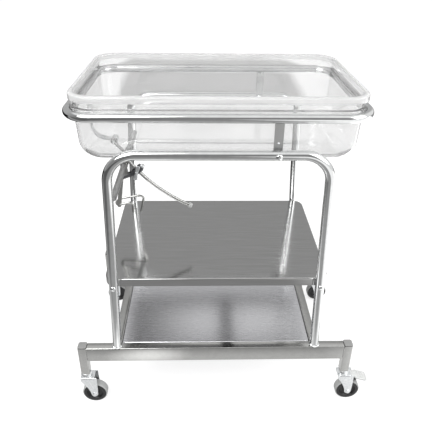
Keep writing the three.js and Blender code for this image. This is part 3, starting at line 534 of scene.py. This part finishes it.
def make_ring():
    """Support ring: a circle carried round a closed rectangle, with its welds, bolts and rivets."""
    corners = [(-RING_X, -RING_Y, RING_Z), (RING_X, -RING_Y, RING_Z), (RING_X, RING_Y, RING_Z),
               (-RING_X, RING_Y, RING_Z)]
    path = bent(corners, RING_CORNER, 20, True)
    make("ring_tube", [tube(path, RING_R, UP, True, 40)], "cradle", "polished_stainless",
         ["support_ring"])
    low, high = PIVOT_X - 10, PIVOT_X + 10  # a strap's weld, on either face of the strap
    strap_faces, strap_bead_z, bead = (212.3, 216.7), 902.6, 1.4
    beads = [weld_line((low, ey * face, strap_bead_z), (high, ey * face, strap_bead_z), UP, bead)
             for ey in ENDS.values() for face in strap_faces]
    hanger_x, hanger_bead_z = -359.2, 901.4
    beads += [weld_line((hanger_x, -13, hanger_bead_z), (hanger_x, 5, hanger_bead_z), UP, bead)]
    make("ring_welds", beads, "cradle", "polished_stainless")
    rivet = [(TIP, 1.1), (1.6, 0.9), (2.6, 0.0), (2.6, -0.5), (TIP, -0.5)]
    rivet_y, rivet_z = 216.5, 849
    for end, ey in ENDS.items():
        place = (PIVOT_X, ey * (HOOP_Y + LEG_R + GAP), HOOP_TOP)
        make(f"pivot_bolt_{end}_head", bolt_shells(place, -ey, PIVOT_BOLT_LENGTH, PIVOT_NUT),
             "trolley", "polished_stainless", [f"pivot_bolt_{end}"])
        head = turned(rivet, (PIVOT_X, ey * rivet_y, rivet_z), (0, ey, 0), 24)
        make(f"strap_rivet_{end}", [solid(head)], "cradle", "zinc_plate")


def make_tub():
    """Tub: round-cornered outlines run up the outside, over the rim and down the inside.

    The floor's corner is a quarter circle, the rim a turned-down lip with rounded edges, and a bead
    under it seats on the ring. out is how far a level lies outside the wall.
    """
    wall_x, wall_y, corner, taper, radius, thick = 343.5, 206.5, 51.5, 3.0, 50.0, 4.5
    bottom, seat, top, joint = 789.0, 921.6, 959.0, 940.0
    t = np.linspace(0, np.pi / 2, 15)

    def floor_at(depth):
        """From the middle of the floor round its corner, at a depth inside the outer skin."""
        arc = np.stack([-taper - radius + (radius - depth) * np.sin(t),
                        bottom + radius - (radius - depth) * np.cos(t)], -1)
        return np.concatenate([[[-130, bottom + depth], [-90, bottom + depth]], arc])

    bulge = 7.5
    bead = rounded_profile([(0, 900), (0, seat), (bulge, seat), (bulge, seat + 5), (0, seat + 5.4),
                            (0, joint)], [1.5, 1.4, 2.0, 2.0], 4)
    reach, rim, skirt = 8.5, 3.5, 16.0  # the lip's reach, thickness and depth
    lip = rounded_profile([(0, joint), (0, top - rim), (reach - rim, top - rim),
                           (reach - rim, top - skirt), (reach, top - skirt), (reach, top),
                           (-thick, top), (-thick, 925)], [1.0, 1.2, 1.2, 1.2, 3.5, 3.0], 5)
    profile = np.concatenate([floor_at(0.0), bead, lip[1:], floor_at(thick)[::-1]])
    out, z = profile.T
    extra = 5.0  # of the lip on the long sides, coming in over the first 5 mm of its reach
    wide = extra * np.clip((out - 0.5) / 4.5, 0, 1) * (z > joint + 1)
    tighter, least = 0.62, 3.0  # how the plan corners follow the floor in, and their least radius
    plan = np.maximum(corner + np.where(out < 0, tighter, 1.0) * out, least)
    outlines = [rounded(wall_x + o, wall_y + o + w, r, 14) for o, w, r in zip(out, wide, plan)]
    make("tub_shell", [solid(stacked(outlines, z))], "tub", "clear_acrylic", ["tub"], crease=40)


def eye_ring(y, half_width):
    """The turned eye of a piece that hangs on the stay pin."""
    profile = two_sided([(3.8, -half_width), (9, -half_width)], [1.2], 3)
    return turned(profile, (STAY_PIN_X, y, STAY_PIN_Z), ACROSS), True


def make_stay():
    """Stay: the cross bar, the rod as an arc from its eye, and the rod's turned tip."""
    reach = HOOP_Y - LEG_R - GAP
    path = straight((BAR_X, -reach, BAR_Z), (BAR_X, reach, BAR_Z))
    make("cross_bar_tube", [tube(path, BAR_R, UP)], "trolley", "polished_stainless",
         ["left_cross_bar"], "dull_stainless")
    side, sunk = -266.0, 0.4
    beads = []
    for ey in ENDS.values():
        y = ey * (reach + sunk)
        beads.append(weld_line((side, y, BAR_Z - 6), (side, y, BAR_Z + 6), ACROSS, 2.0))
    make("cross_bar_welds", beads, "trolley", "polished_stainless")
    start, end, radius, rod_r = math.radians(-63.3), math.radians(-25.5), 450.0, 5.0
    centre = np.array([STAY_PIN_X - radius * math.sin(start), STAY_Y,
                       STAY_PIN_Z + radius * math.cos(start)])
    a = np.linspace(start, end, 40)
    rod = centre - radius * np.stack([-np.sin(a), 0 * a, np.cos(a)], -1)
    make("stay_rod_bar", [tube(rod[1:], rod_r, ACROSS, False, 24), eye_ring(STAY_Y, 5.5)], "stay",
         "polished_stainless", ["stay_rod"], "satin_stainless")
    way = np.array([math.cos(end), 0, math.sin(end)])
    bore = rod_r + GAP
    cup = rounded_profile([(TIP, 3.3), (7.5, 3.3), (7.5, -7.7), (bore, -7.7)], [3.2, 1.0], 5)
    cup = np.concatenate([cup, [[bore, 0.2], [TIP, 0.2]]])
    make("stay_tip_cup", [solid(turned(cup, rod[-1], way))], "stay", "grey_moulding",
         ["stay_rod_tip"])


def make_clamp():
    """Clamp: a turned barrel, a collar on the cross bar with a web, a jaw round the rod, a nut."""
    lean, slope = math.radians(BARREL_LEAN), math.radians(GRIP_SLOPE)
    wide, groove = 7.5, 6.4
    barrel = rounded_profile(
        [(TIP, -44), (wide, -44), (wide, -9), (groove, -9), (groove, -7), (wide, -7), (wide, 1),
         (TIP, 1)], [1.2, 0.3, 0.3, 0.3, 0.3, 1.2], 3)
    barrel = turned(barrel, BARREL_SEAT, (math.cos(lean), 0, math.sin(lean)))
    make("clamp_casting", [solid(barrel)], "trolley", "black_casting", ["stay_clamp"])
    collar = turned(two_sided([(BAR_R + GAP, -12), (10.5, -12)], [0.8], 3),
                    (BAR_X, STAY_Y, BAR_Z), ACROSS)
    web = np.array([(-263.4, 695), (-265, 664), (-250, 669.5), (-253.6, 695)])
    make("clamp_bracket", [slab(web, STAY_Y - 5, STAY_Y + 5, 0.8), (collar, True)], "trolley",
         "polished_stainless", look="satin_stainless")
    grip = GRIP + [0, STAY_Y, 0]
    run = np.array([math.cos(slope), 0, math.sin(slope)]) * 8.0
    outer, inner = (carried(rounded(h, w, r, 5), np.stack([grip - run, grip + run]), ACROSS)
                    for h, w, r in ((16.0, 11.5, 5.0), (12.0, 5.4, 4.0)))
    make("clamp_jaw", [hollow(outer, inner)], "trolley", "black_casting")
    out = np.array([-math.sin(slope), 0, math.cos(slope)])
    nut = rounded_profile([(TIP, -0.5), (6.5, -0.5), (6.5, 4), (5.0, 8), (TIP, 9)],
                          [0.5, 1.0, 2.5], 4)
    make("clamp_nut", [solid(turned(nut, grip + 16 * out, out))], "trolley", "zinc_plate")


def wire(path, radius, sides=16):
    """A round wire along a path, its rings laid from a leaning direction the path never takes."""
    along = tangents(path)
    lean = np.array([1.0, 1.0, 1.0]) / math.sqrt(3)
    across = lean - along * (along @ lean)[:, None]
    across /= np.linalg.norm(across, axis=1, keepdims=True)
    above = np.cross(along, across)
    flat = circle(radius, sides)
    sideways, upwards = across[:, None] * flat[None, :, :1], above[:, None] * flat[None, :, 1:]
    return solid(path[:, None] + sideways + upwards)


def smooth_curve(knots, per_span=8):
    """A Catmull-Rom curve through the knots: a cubic on each span, tangents from neighbours."""
    padded = np.concatenate([[2 * knots[0] - knots[1]], knots, [2 * knots[-1] - knots[-2]]])
    t = np.linspace(0, 1, per_span, endpoint=False)[None, :, None]
    p0, p1, p2, p3 = (padded[k:len(padded) - 3 + k, None] for k in range(4))
    curve = 0.5 * (2 * p1 + (p2 - p0) * t + (2 * p0 - 5 * p1 + 4 * p2 - p3) * t**2
                   + (3 * p1 - p0 - 3 * p2 + p3) * t**3)
    return np.concatenate([curve.reshape(-1, 3), knots[-1:]])


def drawn_in(outline, inset):
    """A closed outline moved inwards: each point along the mean normal of its two sides."""
    after = np.roll(outline, -1, 0)
    ahead = after - np.roll(outline, 1, 0)
    normal = np.stack([-ahead[:, 1], ahead[:, 0]], -1)
    area = np.sum(outline[:, 0] * after[:, 1] - outline[:, 1] * after[:, 0])
    return outline + np.sign(area) * inset * normal / np.linalg.norm(normal, axis=1, keepdims=True)


def slab(outline, low, high, edge=0.6):
    """A flat plate in the XZ plane from low to high in Y: an outline stacked with edge rounds."""
    t = np.linspace(0, np.pi / 2, 4)
    inset = edge * (1 - np.sin(t))
    depth = edge * (1 - np.cos(t))
    insets = np.concatenate([inset, inset[::-1]])
    depths = np.concatenate([low + depth, high - depth[::-1]])
    return solid(stacked([drawn_in(outline, i) for i in insets], depths)[..., [0, 2, 1]])


def pad_grid(outline, low, high, edge):
    """A flat pad in plan from low to high in Z, its edges rounded top and bottom."""
    grid, _ = slab(outline, low, high, edge)
    return solid(grid[..., [0, 2, 1]])


def stadium(a, b, radius, steps=12):
    """Outline of a bar with round ends: half circles about a and b."""
    a, b = np.asarray(a, float), np.asarray(b, float)
    lean = math.atan2(*(b - a)[::-1])
    t = np.linspace(-np.pi / 2, np.pi / 2, steps)
    turn = np.stack([np.cos(t + lean), np.sin(t + lean)], -1)
    return np.concatenate([b + radius * turn, a - radius * turn])


def arch(a, b, c, steps=10):
    """A quadratic curve from a to c that leans to b: (1-t)^2 a + 2t(1-t) b + t^2 c."""
    t = np.linspace(0, 1, steps)[:, None]
    a, b, c = (np.asarray(p, float) for p in (a, b, c))
    return (1 - t) ** 2 * a + 2 * t * (1 - t) * b + t**2 * c


def placed(shell, place, slope=0.0):
    """A shell turned about Y by a slope in degrees and moved to a place."""
    grid, loop = shell
    c, d = math.cos(math.radians(slope)), math.sin(math.radians(slope))
    x, y, z = np.moveaxis(grid, -1, 0)
    return np.stack([x * c + z * d, y, z * c - x * d], -1) + np.asarray(place, float), loop


def make_hanger():
    """Hanger: a flat strip carried down the tub's end and round under its corner to a knuckle."""
    centre_x, centre_z, radius, top = -290, 839, 67, 900.7
    t = np.linspace(np.pi, math.radians(272), 24)
    arc = np.stack([centre_x + radius * np.cos(t), 0 * t + HANGER_Y,
                    centre_z + radius * np.sin(t)], -1)
    path = np.concatenate([[[centre_x - radius, HANGER_Y, top]], arc])
    half_thick, half_width, edge = 2, 10, 0.8
    strip = solid(carried(rounded(half_thick, half_width, edge, 3), path, ACROSS))
    make("stay_hanger_strip", [strip, eye_ring(HANGER_Y, half_width)], "cradle",
         "polished_stainless", ["stay_hanger"], "zinc_plate")


def make_lever():
    """Release lever: a hairpin wire along a smooth curve, on a flat link from the lever pin."""
    wire_r, link_r = 3.5, 6.0
    knots = np.array([
        (-246, -10, 541), (-245.5, -10, 560), (-247, -10, 568), (-254, -10, 572), (-270, -10, 570),
        (-286, -9, 565), (-294, -2, 564), (-297, 9, 564), (-294, 20, 564), (-286, 27, 566),
        (-270, 28, 569), (-234, 28, 575), (-222, 28, 572), (-219, 28, 563), (-228, 28, 521)], float)
    link = slab(stadium((-286, 564), LEVER_PIN, link_r), -12.2, -8.2, 0.8)
    make("release_lever_wire", [wire(smooth_curve(knots), wire_r), link], "release_lever",
         "polished_stainless", ["release_lever"], "satin_stainless")


def make_wing_screw():
    """Wing screw: a turned hub and shank, and two wings with curved edges and rounded faces."""
    hub = rounded_profile([(TIP, -44), (4.4, -44), (5.5, -32.3), (3, -32.3), (3, -25.7),
                           (TIP, -25.7)], [1.4, 0.8, 0.1, 0.1], 4)
    wing = np.concatenate([arch((-3.2, 2), (-6.5, 12), (-5.5, 20), 8),
                           arch((-5.0, 21.2), (0, 23.4), (5.0, 21.2), 8),
                           arch((5.5, 20), (6.5, 12), (3.2, 2), 8)])
    shells = [placed(solid(turned(hub, (0, 0, 0), ACROSS)), GRIP)]
    shells += [placed(slab(wing, -42.5, -38.7, 1.2), GRIP, slope) for slope in (15, 195)]
    make("wing_screw_body", shells, "clamp_screw", "zinc_plate", ["clamp_wing_screw"])


def make_wheels():
    """Wheels: turned tyres with a crowned tread, dished cores, hexagon axle bolts, swivel stems."""
    tread = two_sided([(27.3, -10.4), (33, -10.4), (34, -11.8), (AXLE_Z, -8.5)], [0.3, 0.5, 2.5], 4)
    core = two_sided([(4.3, -13), (10, -13), (12, -6), (22, -6), (25, -11.6), (33.4, -11.6),
                      (33.4, -10.6), (27, -10.6)], [1.5, 1.5, 1.5, 1.0, 0.4, 0.3, 0.1], 3)
    axle = two_sided([(TIP, -20.8), (6.5, -20.8), (6.5, -16.8), (4, -16.8)], [1.2, 0.2, 0.2], 3)
    stem = rounded_profile(
        [(TIP, 94), (8, 94), (8, 97), (4.7, 98), (4.7, 105.3), (16.6, 105.3), (16.6, 111),
         (14, 117.7), (7, 117.7), (7, 158), (TIP, 160)],
        [1.0, 0.5, 0.2, 0.2, 1.6, 2.0, 1.5, 0.2, 1.0], 4)
    for label, sx, ey in CORNERS:
        hub = (sx * POST_X + TRAIL, ey * HOOP_Y, AXLE_Z)
        make(f"tyre_ring_{label}", [(turned(tread, hub, ACROSS, 64), True)], f"wheel_{label}",
             "grey_tyre", [f"tyre_{label}"])
        make(f"wheel_centre_{label}", [(turned(core, hub, ACROSS, 48), True)], f"wheel_{label}",
             "black_moulding", [f"wheel_core_{label}"])
        make(f"axle_bolt_{label}", [solid(turned(axle, hub, ACROSS, 6))], f"fork_{label}",
             "zinc_plate", [f"caster_axle_{label}"], crease=20)
        place = (sx * POST_X, ey * HOOP_Y, 0)
        make(f"swivel_stem_{label}", [solid(turned(stem, place, UP))], "trolley", "zinc_plate",
             [f"caster_stem_{label}"])


def fork_shells():
    """A pressed yoke: tapering cheeks with rounded edges, ribs and bosses; a crown; a housing."""
    eye_r, inside, sheet = 10, 14.0, 2.5  # an eye's radius; where a cheek starts; its thickness
    t = np.linspace(np.pi, 2 * np.pi, 16)
    eye = np.stack([TRAIL + eye_r * np.cos(t), AXLE_Z + eye_r * np.sin(t)], -1)
    outline = np.concatenate([
        [(-15, 104.5), (-16, 103)], arch((-16, 92), (7, AXLE_Z + 24), (10, AXLE_Z)), eye[1:-1],
        arch((30, AXLE_Z), (32, AXLE_Z + 30), (31, 87)), [(31, 103), (30, 104.5)]])
    cheeks = [slab(outline, low, low + sheet, 0.8) for low in (-inside - sheet, inside)]
    crown = pad_grid(rounded(20, 16.5, 6) + [4, 0], 100, 105, 1.6)
    ribs = [slab(stadium((8, 84), (17, 56), 3.2), y - 0.7, y + 0.7, 0.5) for y in (-16.6, 16.6)]
    boss = two_sided([(TIP, -1), (9, -1)], [0.6], 3)
    bosses = [solid(turned(boss, (TRAIL, y, AXLE_Z), ACROSS)) for y in (-16.2, 16.2)]
    housing = pad_grid(rounded(17.5, 16.6, 9) + [1.5, 0], 92.5, 104.8, 3.0)
    return [*cheeks, crown, *ribs, *bosses, housing]


def pedal_shells():
    """A brake pedal: a rounded pad with grip ribs, a neck, a hinge barrel and pin; and its shoe."""
    pad = pad_grid(rounded(21, 17, 9, 10) + [30, 0], 0, 5, 1.8)
    rib = solid(carried(rounded(1.3, 1.2, 0.8, 4), straight((0, -12, 0), (0, 12, 0)), UP))
    ribs = [placed(rib, (x, 0, 5.2)) for x in (21.6, 30, 38.4, 46.8)]
    neck = pad_grid(rounded(7, 12.6, 1.0, 4) + [6.5, 0], 0.2, 4.8, 1.0)
    barrel = two_sided([(TIP, -13.6), (5, -13.6)], [1], 4)
    pin = two_sided([(TIP, -17.1), (2.4, -17.1)], [0.8], 4)
    hinge = [solid(turned(profile, (0, 0, 0), ACROSS)) for profile in (barrel, pin)]
    shoe = pad_grid(rounded(7, 8, 1.5, 4) + [16, 0], -14.8, 1, 1.0)
    return [pad, *ribs, neck, *hinge], [shoe]


def make_casters():
    """Forks on all four casters and a brake pedal on two, diagonally opposite."""
    for label, sx, ey in CORNERS:
        x, y = sx * POST_X, ey * HOOP_Y
        make(f"fork_yoke_{label}", [placed(shell, (x, y, 0)) for shell in fork_shells()],
             f"fork_{label}", "zinc_plate", [f"caster_fork_{label}"])
        if sx * ey < 0:
            hinge = (x + PEDAL_TRAIL, y, PEDAL_Z)
            pedal, shoe = ([placed(shell, hinge, PEDAL_SLOPE) for shell in group]
                           for group in pedal_shells())
            make(f"pedal_tread_{label}", pedal, f"brake_{label}", "grey_moulding",
                 [f"brake_pedal_{label}"])
            make(f"pedal_shoe_{label}", shoe, f"brake_{label}", "black_moulding")


make_hoops()
make_base()
make_shelves()
make_ring()
make_tub()
make_stay()
make_clamp()
make_hanger()
make_lever()
make_wing_screw()
make_wheels()
make_casters()


# Stage, light and camera

def make_floor():
    """A wide pale floor: white to the eye, with the object's soft shadow.

    Through the tub it is white, grey far behind and dark in a ring round the object, a painted
    shadow of the object. In mirrors it is grey, with the light and dark patches that the metals
    pick up. Places are in metres.
    """
    size = 12.0
    corners = [(-size, -size, 0), (size, -size, 0), (size, size, 0), (-size, size, 0)]
    mesh = bpy.data.meshes.new("studio_floor")
    mesh.from_pydata(corners, [], [(0, 1, 2, 3)])
    floor = bpy.data.objects.new("studio_floor", mesh)
    bpy.context.scene.collection.objects.link(floor)
    material = bpy.data.materials.new("white studio floor")
    material.use_nodes = True
    tree = material.node_tree
    tree.nodes.clear()
    rays = node(tree, "ShaderNodeLightPath").outputs
    where = node(tree, "ShaderNodeTexCoord").outputs["Object"]
    at = node(tree, "ShaderNodeSeparateXYZ", Vector=where)
    x, y = at.outputs["X"], at.outputs["Y"]

    # To the eye
    matt = node(tree, "ShaderNodeBsdfDiffuse", inputs={"Color": linear("#a8a8a8")}).outputs[0]
    glow = node(tree, "ShaderNodeEmission", inputs={"Strength": 0.72}).outputs[0]
    seen = node(tree, "ShaderNodeAddShader", i0=matt, i1=glow).outputs[0]

    # Through the tub
    far = ramp(tree, y, 2.2, 2.9, 1.0, 0.55)  # above and behind the tub's back wall
    apart = node(tree, "ShaderNodeMath", {"operation": "ABSOLUTE"}, i0=x).outputs[0]
    aside = ramp(tree, apart, 0.78, 0.88, 0.0, 0.45)  # white again past the tub's ends
    grey = maths(tree, "ADD", far, aside, use_clamp=True)
    # Painted shadow: seen through the tub, the floor is darkened in a ring round the object.
    away = node(tree, "ShaderNodeVectorMath", {"operation": "LENGTH"}, i0=where).outputs["Value"]
    inside = ramp(tree, away, 0.55, 0.7, 1.0, 0.25)  # the dark ring's inner edge
    outside = ramp(tree, away, 1.2, 1.4, 0.25, 1.0)  # and its outer edge
    dimmed = maths(tree, "MULTIPLY", grey, maths(tree, "MAXIMUM", inside, outside))
    through = node(tree, "ShaderNodeEmission", Strength=dimmed).outputs[0]

    # In mirrors
    ahead = ramp(tree, y, -2.2, -0.6, 0.3, 0.42)  # towards the camera and back
    near = ramp(tree, y, -0.55, -0.4, 0.0, 0.45)  # lighter from the front beam on
    right = ramp(tree, x, 0.35, 0.7, 0.0, 0.9)  # bright past the right legs
    spot = node(tree, "ShaderNodeVectorMath", {"operation": "DISTANCE"}, {1: (-0.255, -0.43, 0.0)},
                i0=where).outputs["Value"]
    patch = ramp(tree, spot, 0.03, 0.15, 0.9, 0.0)  # the bright spot in the front beam
    behind = ramp(tree, y, 0.2, 0.45, 0.0, 1.0)  # seen in the lower shelf by way of the upper
    slant = ramp(tree, x, -0.45, -0.1, -0.85, 1.1)  # darker at the left than at the right
    leaning = maths(tree, "MULTIPLY", behind, slant)
    left = ramp(tree, x, -1.0, -0.5, 0.4, 1.0)  # dim past the left end
    back = ramp(tree, y, 0.9, 1.3, 1.0, 0.1)  # dark far behind
    level = ahead
    for light in (near, right, patch, leaning):
        level = maths(tree, "ADD", level, light)
    for shade in (left, back):
        level = maths(tree, "MULTIPLY", level, shade)
    mirrored = node(tree, "ShaderNodeEmission", Strength=level).outputs[0]

    shown = matt
    for ray, shader in (("Glossy", mirrored), ("Transmission", through), ("Camera", seen)):
        shown = node(tree, "ShaderNodeMixShader", i0=rays[f"Is {ray} Ray"], i1=shown,
                     i2=shader).outputs[0]
    node(tree, "ShaderNodeOutputMaterial", Surface=shown)
    mesh.materials.append(material)


def make_world():
    """Studio surround: white to the eye and through the tub; to light and mirrors a grey room.

    The room is dark behind the camera, mid grey at the back, bright at the right and overhead.
    """
    world = bpy.data.worlds.new("studio surround")
    bpy.context.scene.world = world
    world.use_nodes = True
    tree = world.node_tree
    tree.nodes.clear()
    rays = node(tree, "ShaderNodeLightPath").outputs
    way = node(tree, "ShaderNodeTexCoord")
    at = node(tree, "ShaderNodeSeparateXYZ", Vector=way.outputs["Generated"])
    walls = ramp(tree, at.outputs["Y"], -0.4, 0.4, 0.28, 0.5)
    right = ramp(tree, at.outputs["X"], 0.25, 0.7, 0.0, 0.95)
    above = ramp(tree, at.outputs["Z"], 0.5, 0.75, 0.0, 1.0)
    level = maths(tree, "MAXIMUM", maths(tree, "MAXIMUM", walls, right), above)
    white = {"Color": linear("#ffffff")}
    room = node(tree, "ShaderNodeBackground", inputs=white, Strength=level)
    bright = node(tree, "ShaderNodeBackground", inputs={**white, "Strength": 1.0})
    seen = maths(tree, "MAXIMUM", rays["Is Camera Ray"], rays["Is Transmission Ray"])
    mix = node(tree, "ShaderNodeMixShader", i0=seen, i1=room.outputs[0], i2=bright.outputs[0])
    node(tree, "ShaderNodeOutputWorld", Surface=mix.outputs[0])


def posed(right, above, back, place):
    """A matrix with three directions as its columns, at a place."""
    matrix = np.eye(4)
    matrix[:3] = np.stack([right, above, back, place], 1)
    return Matrix(matrix.tolist())


def add_softbox(name, place, target, size, power):
    """A square area light at a place, turned to a target."""
    data = bpy.data.lights.new(name, "AREA")
    data.shape, data.size, data.energy = "SQUARE", size, power
    lamp = bpy.data.objects.new(name, data)
    bpy.context.scene.collection.objects.link(lamp)
    away = np.subtract(place, target).astype(float)
    away /= np.linalg.norm(away)
    side = np.cross([0, 0.01, 1], away)
    side /= np.linalg.norm(side)
    lamp.matrix_world = posed(side, np.cross(away, side), away, place)


def make_camera():
    """The photograph's camera: place, yaw, pitch and roll fitted to the object's edges."""
    yaw, pitch, roll = (math.radians(d) for d in (1.882, 28.255, 0.867))
    place = np.array([-41.682, -1269.364, 1292.058])
    photo_px, focal_px, drop_px, sensor = 432, 488.007, 26, 36.0
    level = math.cos(pitch)
    ahead = np.array([math.sin(yaw) * level, math.cos(yaw) * level, -math.sin(pitch)])
    right = np.array([math.cos(yaw), -math.sin(yaw), 0])
    up = np.cross(right, ahead)
    across = math.cos(roll) * right + math.sin(roll) * up
    above = -math.sin(roll) * right + math.cos(roll) * up
    data = bpy.data.cameras.new("photo_camera")
    data.sensor_width, data.lens = sensor, focal_px / photo_px * sensor
    data.shift_y = -drop_px / photo_px
    camera = bpy.data.objects.new("photo_camera", data)
    bpy.context.scene.collection.objects.link(camera)
    camera.matrix_world = posed(across, above, -ahead, place * MM + MIDDLE)
    bpy.context.scene.camera = camera


make_floor()
make_world()
add_softbox("key_softbox", (-1.6, -1.8, 3.0), (0, 0, 0.5), size=2.2, power=90)
add_softbox("fill_softbox", (2.2, -1.2, 2.2), (0, 0, 0.5), size=2.0, power=40)
make_camera()
bpy.context.scene.view_settings.view_transform = "Standard"
